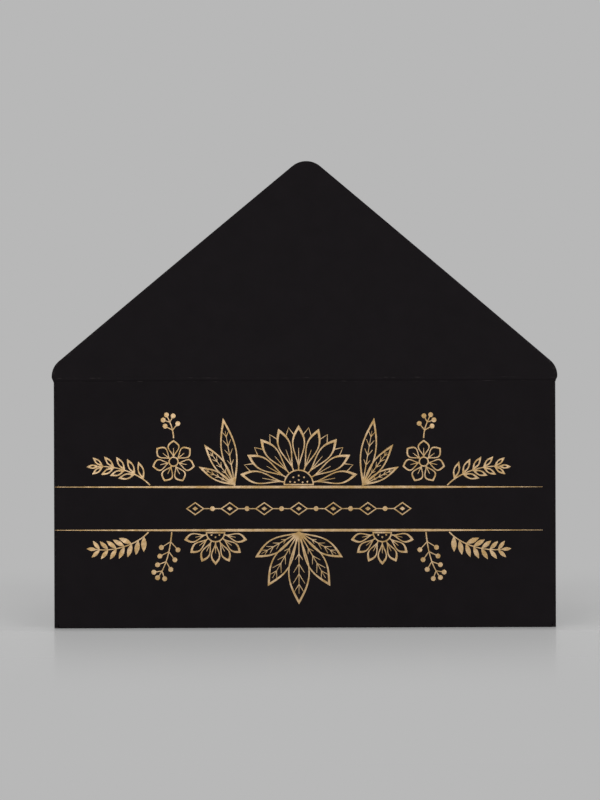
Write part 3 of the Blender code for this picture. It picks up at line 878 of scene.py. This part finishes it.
def rosette(radius, core, petals, tucked=False):
    """Half a flower, whose petals fan out over the line that it stands on."""
    centre = Vector((0, SPACE + LINE / 2))
    half_step = pi / petals / 2
    turns = [pi * step / petals for step in range(petals + 1)]
    arc = [pi * step / petals / 3 for step in range(3 * petals + 1)]
    outer = [centre + heading(turn) * core for turn in arc]
    inner = [centre + heading(turn) * (core - LINE) for turn in arc]
    shapes = [[a, b, d, c] for a, b, c, d in zip(outer, outer[1:], inner, inner[1:])]
    shapes += line_along([outer[0], centre, outer[-1]], (LINE, LINE))
    shapes += seeds(centre, core)
    start = core - LINE / 2
    length = radius - centre.y - start
    width = PETAL_FIT * 2 * (core + PETAL_FULLNESS * length) * tan(half_step)
    for index in range(petals):
        angle = half_step * (2 * index + 1)
        base = centre + heading(angle) * start
        shapes += open_leaf(base, angle, length, width, PETAL_FULLNESS, vein=ROSETTE_VEIN)
    if tucked:
        foot = start + TUCKED_FROM * length
        open_angle = half_step - half_width(TUCKED_FROM, width, PETAL_FULLNESS) / foot
        for turn in turns[1:-1]:
            left = centre + heading(turn + open_angle) * foot
            right = centre + heading(turn - open_angle) * foot
            tip = centre + heading(turn) * TUCKED_REACH * (start + length)
            shapes += line_along([left, tip, right], (FINE_LINE, FINE_LINE))
    return shapes


def blossom(radius, core, petals):
    """A whole round flower."""
    middle = Vector((0, 0))
    shapes = ring(polygon(middle, core, 3 * petals), polygon(middle, core - LINE, 3 * petals))
    length = radius - core + LINE
    width = PETAL_FIT * 2 * (core + PETAL_FULLNESS * length) * sin(pi / petals)
    for index in range(petals):
        angle = pi / 2 + 2 * pi * index / petals
        base = heading(angle) * (core - LINE)
        shapes += open_leaf(base, angle, length, width, PETAL_FULLNESS, vein=BLOSSOM_VEIN)
    return shapes


def leaf_fan(span, height, angles, slimness, fullness, vein):
    """Long leaves that spread from one root, inside an ellipse of this half width and height."""
    shapes = []
    for angle in map(radians, angles):
        length = 1 / hypot(cos(angle) / span, sin(angle) / height)
        base = Vector((0, SPACE))
        shapes += open_leaf(base, angle, length, slimness * length, fullness, vein=vein)
        shapes += side_veins(base, angle, length, slimness * length, fullness)
    return shapes


def spray_leaf(base, angle, length, filled):
    """A small leaf, either filled or drawn as an outline."""
    width = SPRAY_SLIMNESS * length
    if filled:
        return [leaf(base, angle, length, width, steps=SMALL_LEAF_STEPS)]
    return open_leaf(base, angle, length, width, steps=SMALL_LEAF_STEPS)


def point_along(path, share):
    """The point at a share of a path, and the slant of the path there."""
    place = share * (len(path) - 1)
    step = min(int(place), len(path) - 2)
    along = path[step + 1] - path[step]
    return path[step] + along * (place - step), slant(along)


def spray(path, pairs, size, lean, filled):
    """A stem with leaves in pairs that shrink towards the one at its end."""
    shapes = line_along(path, (LINE, FINE_LINE))
    for pair in range(pairs):
        base, angle = point_along(path, (pair + 1) / (pairs + 0.5))
        length = size * (1 - PAIR_TAPER * pair / pairs)
        for side in (-1, 1):
            tip = base + heading(angle + side * lean) * length
            if tip.y > SPACE + SPRAY_SLIMNESS * length:
                shapes += spray_leaf(base, angle + side * lean, length, filled)
    angle = slant(path[-1] - path[-2])
    return shapes + spray_leaf(path[-1] - heading(angle) * LINE, angle, size * END_LEAF, filled)


def spray_stem(span, height, size, end):
    """A stem that rises and levels off, and leaves room for the leaf at its end."""
    handles = (0.15 * span, 0.5 * height), (0.5 * span, 0.85 * height)
    return bend((0, SPACE), *handles, (span - size * END_LEAF, end * height), STEM_STEPS)


def laurel(span, height):
    """A spray of open leaves."""
    path = spray_stem(span, height, LAUREL_LEAF, LAUREL_END)
    return spray(path, LAUREL_PAIRS, LAUREL_LEAF, LAUREL_LEAN, filled=False)


def frond(span, drop):
    """A spray of filled leaves."""
    path = spray_stem(span, drop, FROND_LEAF, FROND_END)
    return spray(path, FROND_PAIRS, FROND_LEAF, FROND_LEAN, filled=True)


def berry_twig(path, pairs, stalk):
    """A stem with round berries on short stalks, in pairs and one at its end."""
    shapes = line_along(path, (LINE, FINE_LINE))
    ends = [path[-1]]
    for pair in range(pairs):
        base, angle = point_along(path, (pair + 1) / (pairs + 0.8))
        for side in (-1, 1):
            reach = stalk * (1 - PAIR_TAPER * pair / pairs)
            end = base + heading(angle + side * STALK_LEAN) * reach
            shapes += line_along([base, end], (FINE_LINE, FINE_LINE))
            ends.append(end)
    return shapes + [polygon(end, BERRY_RADIUS, BERRY_SIDES) for end in ends]


def sprig(height):
    """A short upright twig."""
    top = height - BERRY_RADIUS
    path = bend((0, 0), (0, top / 3), (0.1 * top, 0.6 * top), (0.3 * top, top), SPRIG_STEPS)
    return berry_twig(path, SPRIG_PAIRS, SPRIG_STALK * height)


def twig(span, length):
    """A longer twig that swings outward."""
    handles = (0.3 * span, length / 3), (0.4 * span, 0.7 * length)
    end = (0.75 * span, length - BERRY_RADIUS)
    path = bend((0.25 * span, SPACE), *handles, end, TWIG_STEPS)
    return berry_twig(path, TWIG_PAIRS, TWIG_STALK * length)


def chain(length, lozenges):
    """A row of lozenges with a bead between each two, joined by fine lines."""
    step = length / lozenges
    link = Vector((step - LOZENGE_LENGTH + LINE, 0)) / 2
    half = Vector((LOZENGE_LENGTH, LOZENGE_HEIGHT)) / 2
    rays = [turn * half for turn in polygon(Vector((0, 0)), 1, 4)]
    shapes = []
    for index in range(lozenges):
        centre = Vector((step * (index + 0.5) - length / 2, 0))
        outer = [centre + ray for ray in rays]
        inner = [centre + ray * (1 - 3 * LINE / LOZENGE_LENGTH) for ray in rays]
        shapes += ring(outer, inner)
        shapes.append([centre + ray * STONE_SHARE for ray in rays])
        if index:
            bead = centre - Vector((step / 2, 0))
            shapes.append(polygon(bead, BERRY_RADIUS, BERRY_SIDES))
            shapes += line_along([bead - link, bead + link], (FINE_LINE, FINE_LINE))
    return shapes


# Foil


def fold_back(x):
    """How far the face of a side fold falls back at a distance from the middle."""
    over = (abs(x) - FOLD_ROOT) / SIDE_FOLD_RADIUS
    return SIDE_FOLD_RADIUS * (1 - sqrt(1 - over**2)) if over > 0 else 0


def signed_area(outline):
    """An outline's area, which is negative where it goes round clockwise."""
    return sum(a.cross(b) for a, b in zip(outline, outline[1:] + outline[:1])) / 2


def on_panel(shape, place, up, side):
    """A drawn outline in the panel's plane, going round anticlockwise."""
    across, height = place
    points = []
    for u, w in shape:
        x = PRINT_SHIFT + side * (across + PRINT_SCALE * u)
        z = height + PRINT_SCALE * up * w + PRINT_TILT * (PANEL_HALF - x)
        points.append(Vector((x, z)))
    if signed_area(points) < 0:
        points.reverse()
    return points


def joined_outlines(outlines):
    """Points and triangles that cover overlapping outlines once; it works in micrometres."""
    points = []
    faces = []
    for outline in outlines:
        faces.append(range(len(points), len(points) + len(outline)))
        points += [point / MICRON for point in outline]
    joined, _, triangles, _, _, sources = delaunay_2d_cdt(points, [], faces, 1, 1)
    covered = [triangle for triangle, source in zip(triangles, sources) if source]
    return [point * MICRON for point in joined], covered


def print_foil(name, shapes, place, up=1, side=1):
    """Joins drawn shapes into one sheet of foil, whose drawing starts at a place on the panel."""
    points, triangles = joined_outlines([on_panel(shape, place, up, side) for shape in shapes])
    bm = bmesh.new()
    for x, z in points:
        bm.verts.new((x, fold_back(x) - (HALF_DEPTH + FOIL_LIFT + FOIL + belly(x, z)), z))
    bm.verts.ensure_lookup_table()
    for triangle in triangles:
        bm.faces.new([bm.verts[index] for index in triangle])
    foil = add_piece(name + "_print", bm)
    thicken(foil, FOIL)
    foil.data.materials.append(FOIL_MATERIAL)
    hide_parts(name + "_foil")
    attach(foil, "pocket")


def make_rule(name, height):
    """A rule that tapers to both ends, from the left side fold nearly to the right one."""
    start = RULE_START - PRINT_SHIFT
    end = PANEL_HALF - RULE_END_MARGIN - PRINT_SHIFT
    path = [Vector((x, 0)) / PRINT_SCALE for x in steps_to(start, end, RULE_STEP)]
    widths = [width / PRINT_SCALE for width in RULE_WIDTHS]
    print_foil(name, line_along(path, widths), (0, height))


def make_middle_print():
    """The two rules, and the ornament above, below and between their middles."""
    make_rule("upper_rule", UPPER_RULE)
    make_rule("lower_rule", LOWER_RULE)
    flower = rosette(ROSETTE_RADIUS, ROSETTE_CORE, ROSETTE_PETALS, tucked=True)
    print_foil("rosette", flower, (0, UPPER_RULE))
    size = (PALMETTE_SPAN, PALMETTE_LENGTH)
    leaves = leaf_fan(*size, PALMETTE_ANGLES, PALMETTE_SLIMNESS, fullness=0.56, vein=0.85)
    print_foil("palmette", leaves, (0, LOWER_RULE), up=-1)
    lozenges = chain(CHAIN_LENGTH, CHAIN_LOZENGES)
    print_foil("chain", lozenges, (0, (UPPER_RULE + LOWER_RULE) / 2))


def make_side_print(name, side):
    """The motifs on one side of the print; the other side mirrors them."""
    fan = leaf_fan(FAN_SPAN, FAN_HEIGHT, FAN_ANGLES, FAN_SLIMNESS, fullness=0.5, vein=0.8)
    flower = blossom(BLOSSOM_RADIUS, BLOSSOM_CORE, BLOSSOM_PETALS)
    upper = (
        ("fan", fan, FAN_PLACE, 0),
        ("blossom", flower, BLOSSOM_PLACE, BLOSSOM_RISE),
        ("sprig", sprig(SPRIG_HEIGHT), BLOSSOM_PLACE, SPRIG_RISE),
        ("laurel", laurel(LAUREL_SPAN, LAUREL_HEIGHT), LAUREL_PLACE, 0),
    )
    for motif, shapes, across, rise in upper:
        place = (PRINT_SCALE * across, UPPER_RULE + PRINT_SCALE * rise)
        print_foil(f"{name}_{motif}", shapes, place, side=side)
    lower = (
        ("daisy", rosette(DAISY_RADIUS, DAISY_CORE, DAISY_PETALS), DAISY_PLACE),
        ("twig", twig(TWIG_SPAN, TWIG_LENGTH), TWIG_PLACE),
        ("frond", frond(FROND_SPAN, FROND_DROP), FROND_PLACE),
    )
    for motif, shapes, across in lower:
        print_foil(f"{name}_{motif}", shapes, (PRINT_SCALE * across, LOWER_RULE), up=-1, side=side)


# Studio


def make_camera():
    """A long lens square to the printed front, with the photograph's slight roll."""
    data = bpy.data.cameras.new("camera")
    data.sensor_width = SENSOR_WIDTH
    data.lens = SENSOR_WIDTH * CAMERA_DISTANCE / PICTURE_HEIGHT
    camera = bpy.data.objects.new("camera", data)
    camera.location = PICTURE_CENTRE - Vector((0, HALF_DEPTH + CAMERA_DISTANCE, 0))
    camera.rotation_euler = (pi / 2, PICTURE_ROLL, 0)
    bpy.context.scene.collection.objects.link(camera)
    bpy.context.scene.camera = camera


def make_lamp(name, place, power):
    """A square area lamp that is aimed at the middle of the envelope."""
    data = bpy.data.lights.new(name, "AREA")
    data.size = LAMP_SIZE
    data.energy = power
    lamp = bpy.data.objects.new(name, data)
    lamp.location = place
    lamp.rotation_euler = (LAMP_AIM - lamp.location).to_track_quat("-Z", "Y").to_euler()
    bpy.context.scene.collection.objects.link(lamp)


def make_floor():
    """A sheet of paper that runs over the floor and up the wall behind."""
    bend_start = FLOOR_REACH - SWEEP_RADIUS
    # The row where the bend starts stands twice, which keeps the floor's shading level
    profile = [(-FLOOR_REACH, 0), (bend_start, 0)]
    for turn in steps_to(0, pi / 2, ARC_STEP):
        place = (bend_start + SWEEP_RADIUS * sin(turn), SWEEP_RADIUS * (1 - cos(turn)))
        profile.append(place)
    profile.append((FLOOR_REACH, FLOOR_REACH))
    bm = bmesh.new()
    rows = [[bm.verts.new((x, y, z)) for x in (-FLOOR_REACH, FLOOR_REACH)] for y, z in profile]
    for (a, d), (b, c) in zip(rows, rows[1:]):
        bm.faces.new((a, d, c, b))
    floor = add_piece("studio_floor", bm)
    floor.data.materials.append(studio_paper())


def make_light():
    """A dim world that the camera sees as the studio's grey, and the lamps."""
    world = bpy.data.worlds.new("studio")
    world.use_nodes = True
    tree = world.node_tree
    shown = mixed(tree, seen(tree), 3 * (WORLD_LIGHT,), STUDIO_GREY)
    tree.links.new(shown, tree.nodes["Background"].inputs["Color"])
    bpy.context.scene.world = world
    for name, (place, power) in LAMPS.items():
        make_lamp(name, place, power)


make_camera()
make_floor()
make_light()
CARD_PIECE = make_card()
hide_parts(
    "front_panel",
    "back_panel",
    "bottom_fold",
    "left_side_fold",
    "right_side_fold",
    "left_glue_tab",
    "right_glue_tab",
    "flap_crease",
    "flap",
)
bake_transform(CARD_PIECE)
FOIL_MATERIAL = gold_foil()
make_middle_print()
for word, direction in (("left", -1), ("right", 1)):
    make_side_print(word, direction)
GLUE_MATERIAL = dried_glue()
for name in ("left_glue_line", "right_glue_line"):
    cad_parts[name].material_slots[0].material = GLUE_MATERIAL

bpy.context.scene.view_settings.view_transform = "Standard"
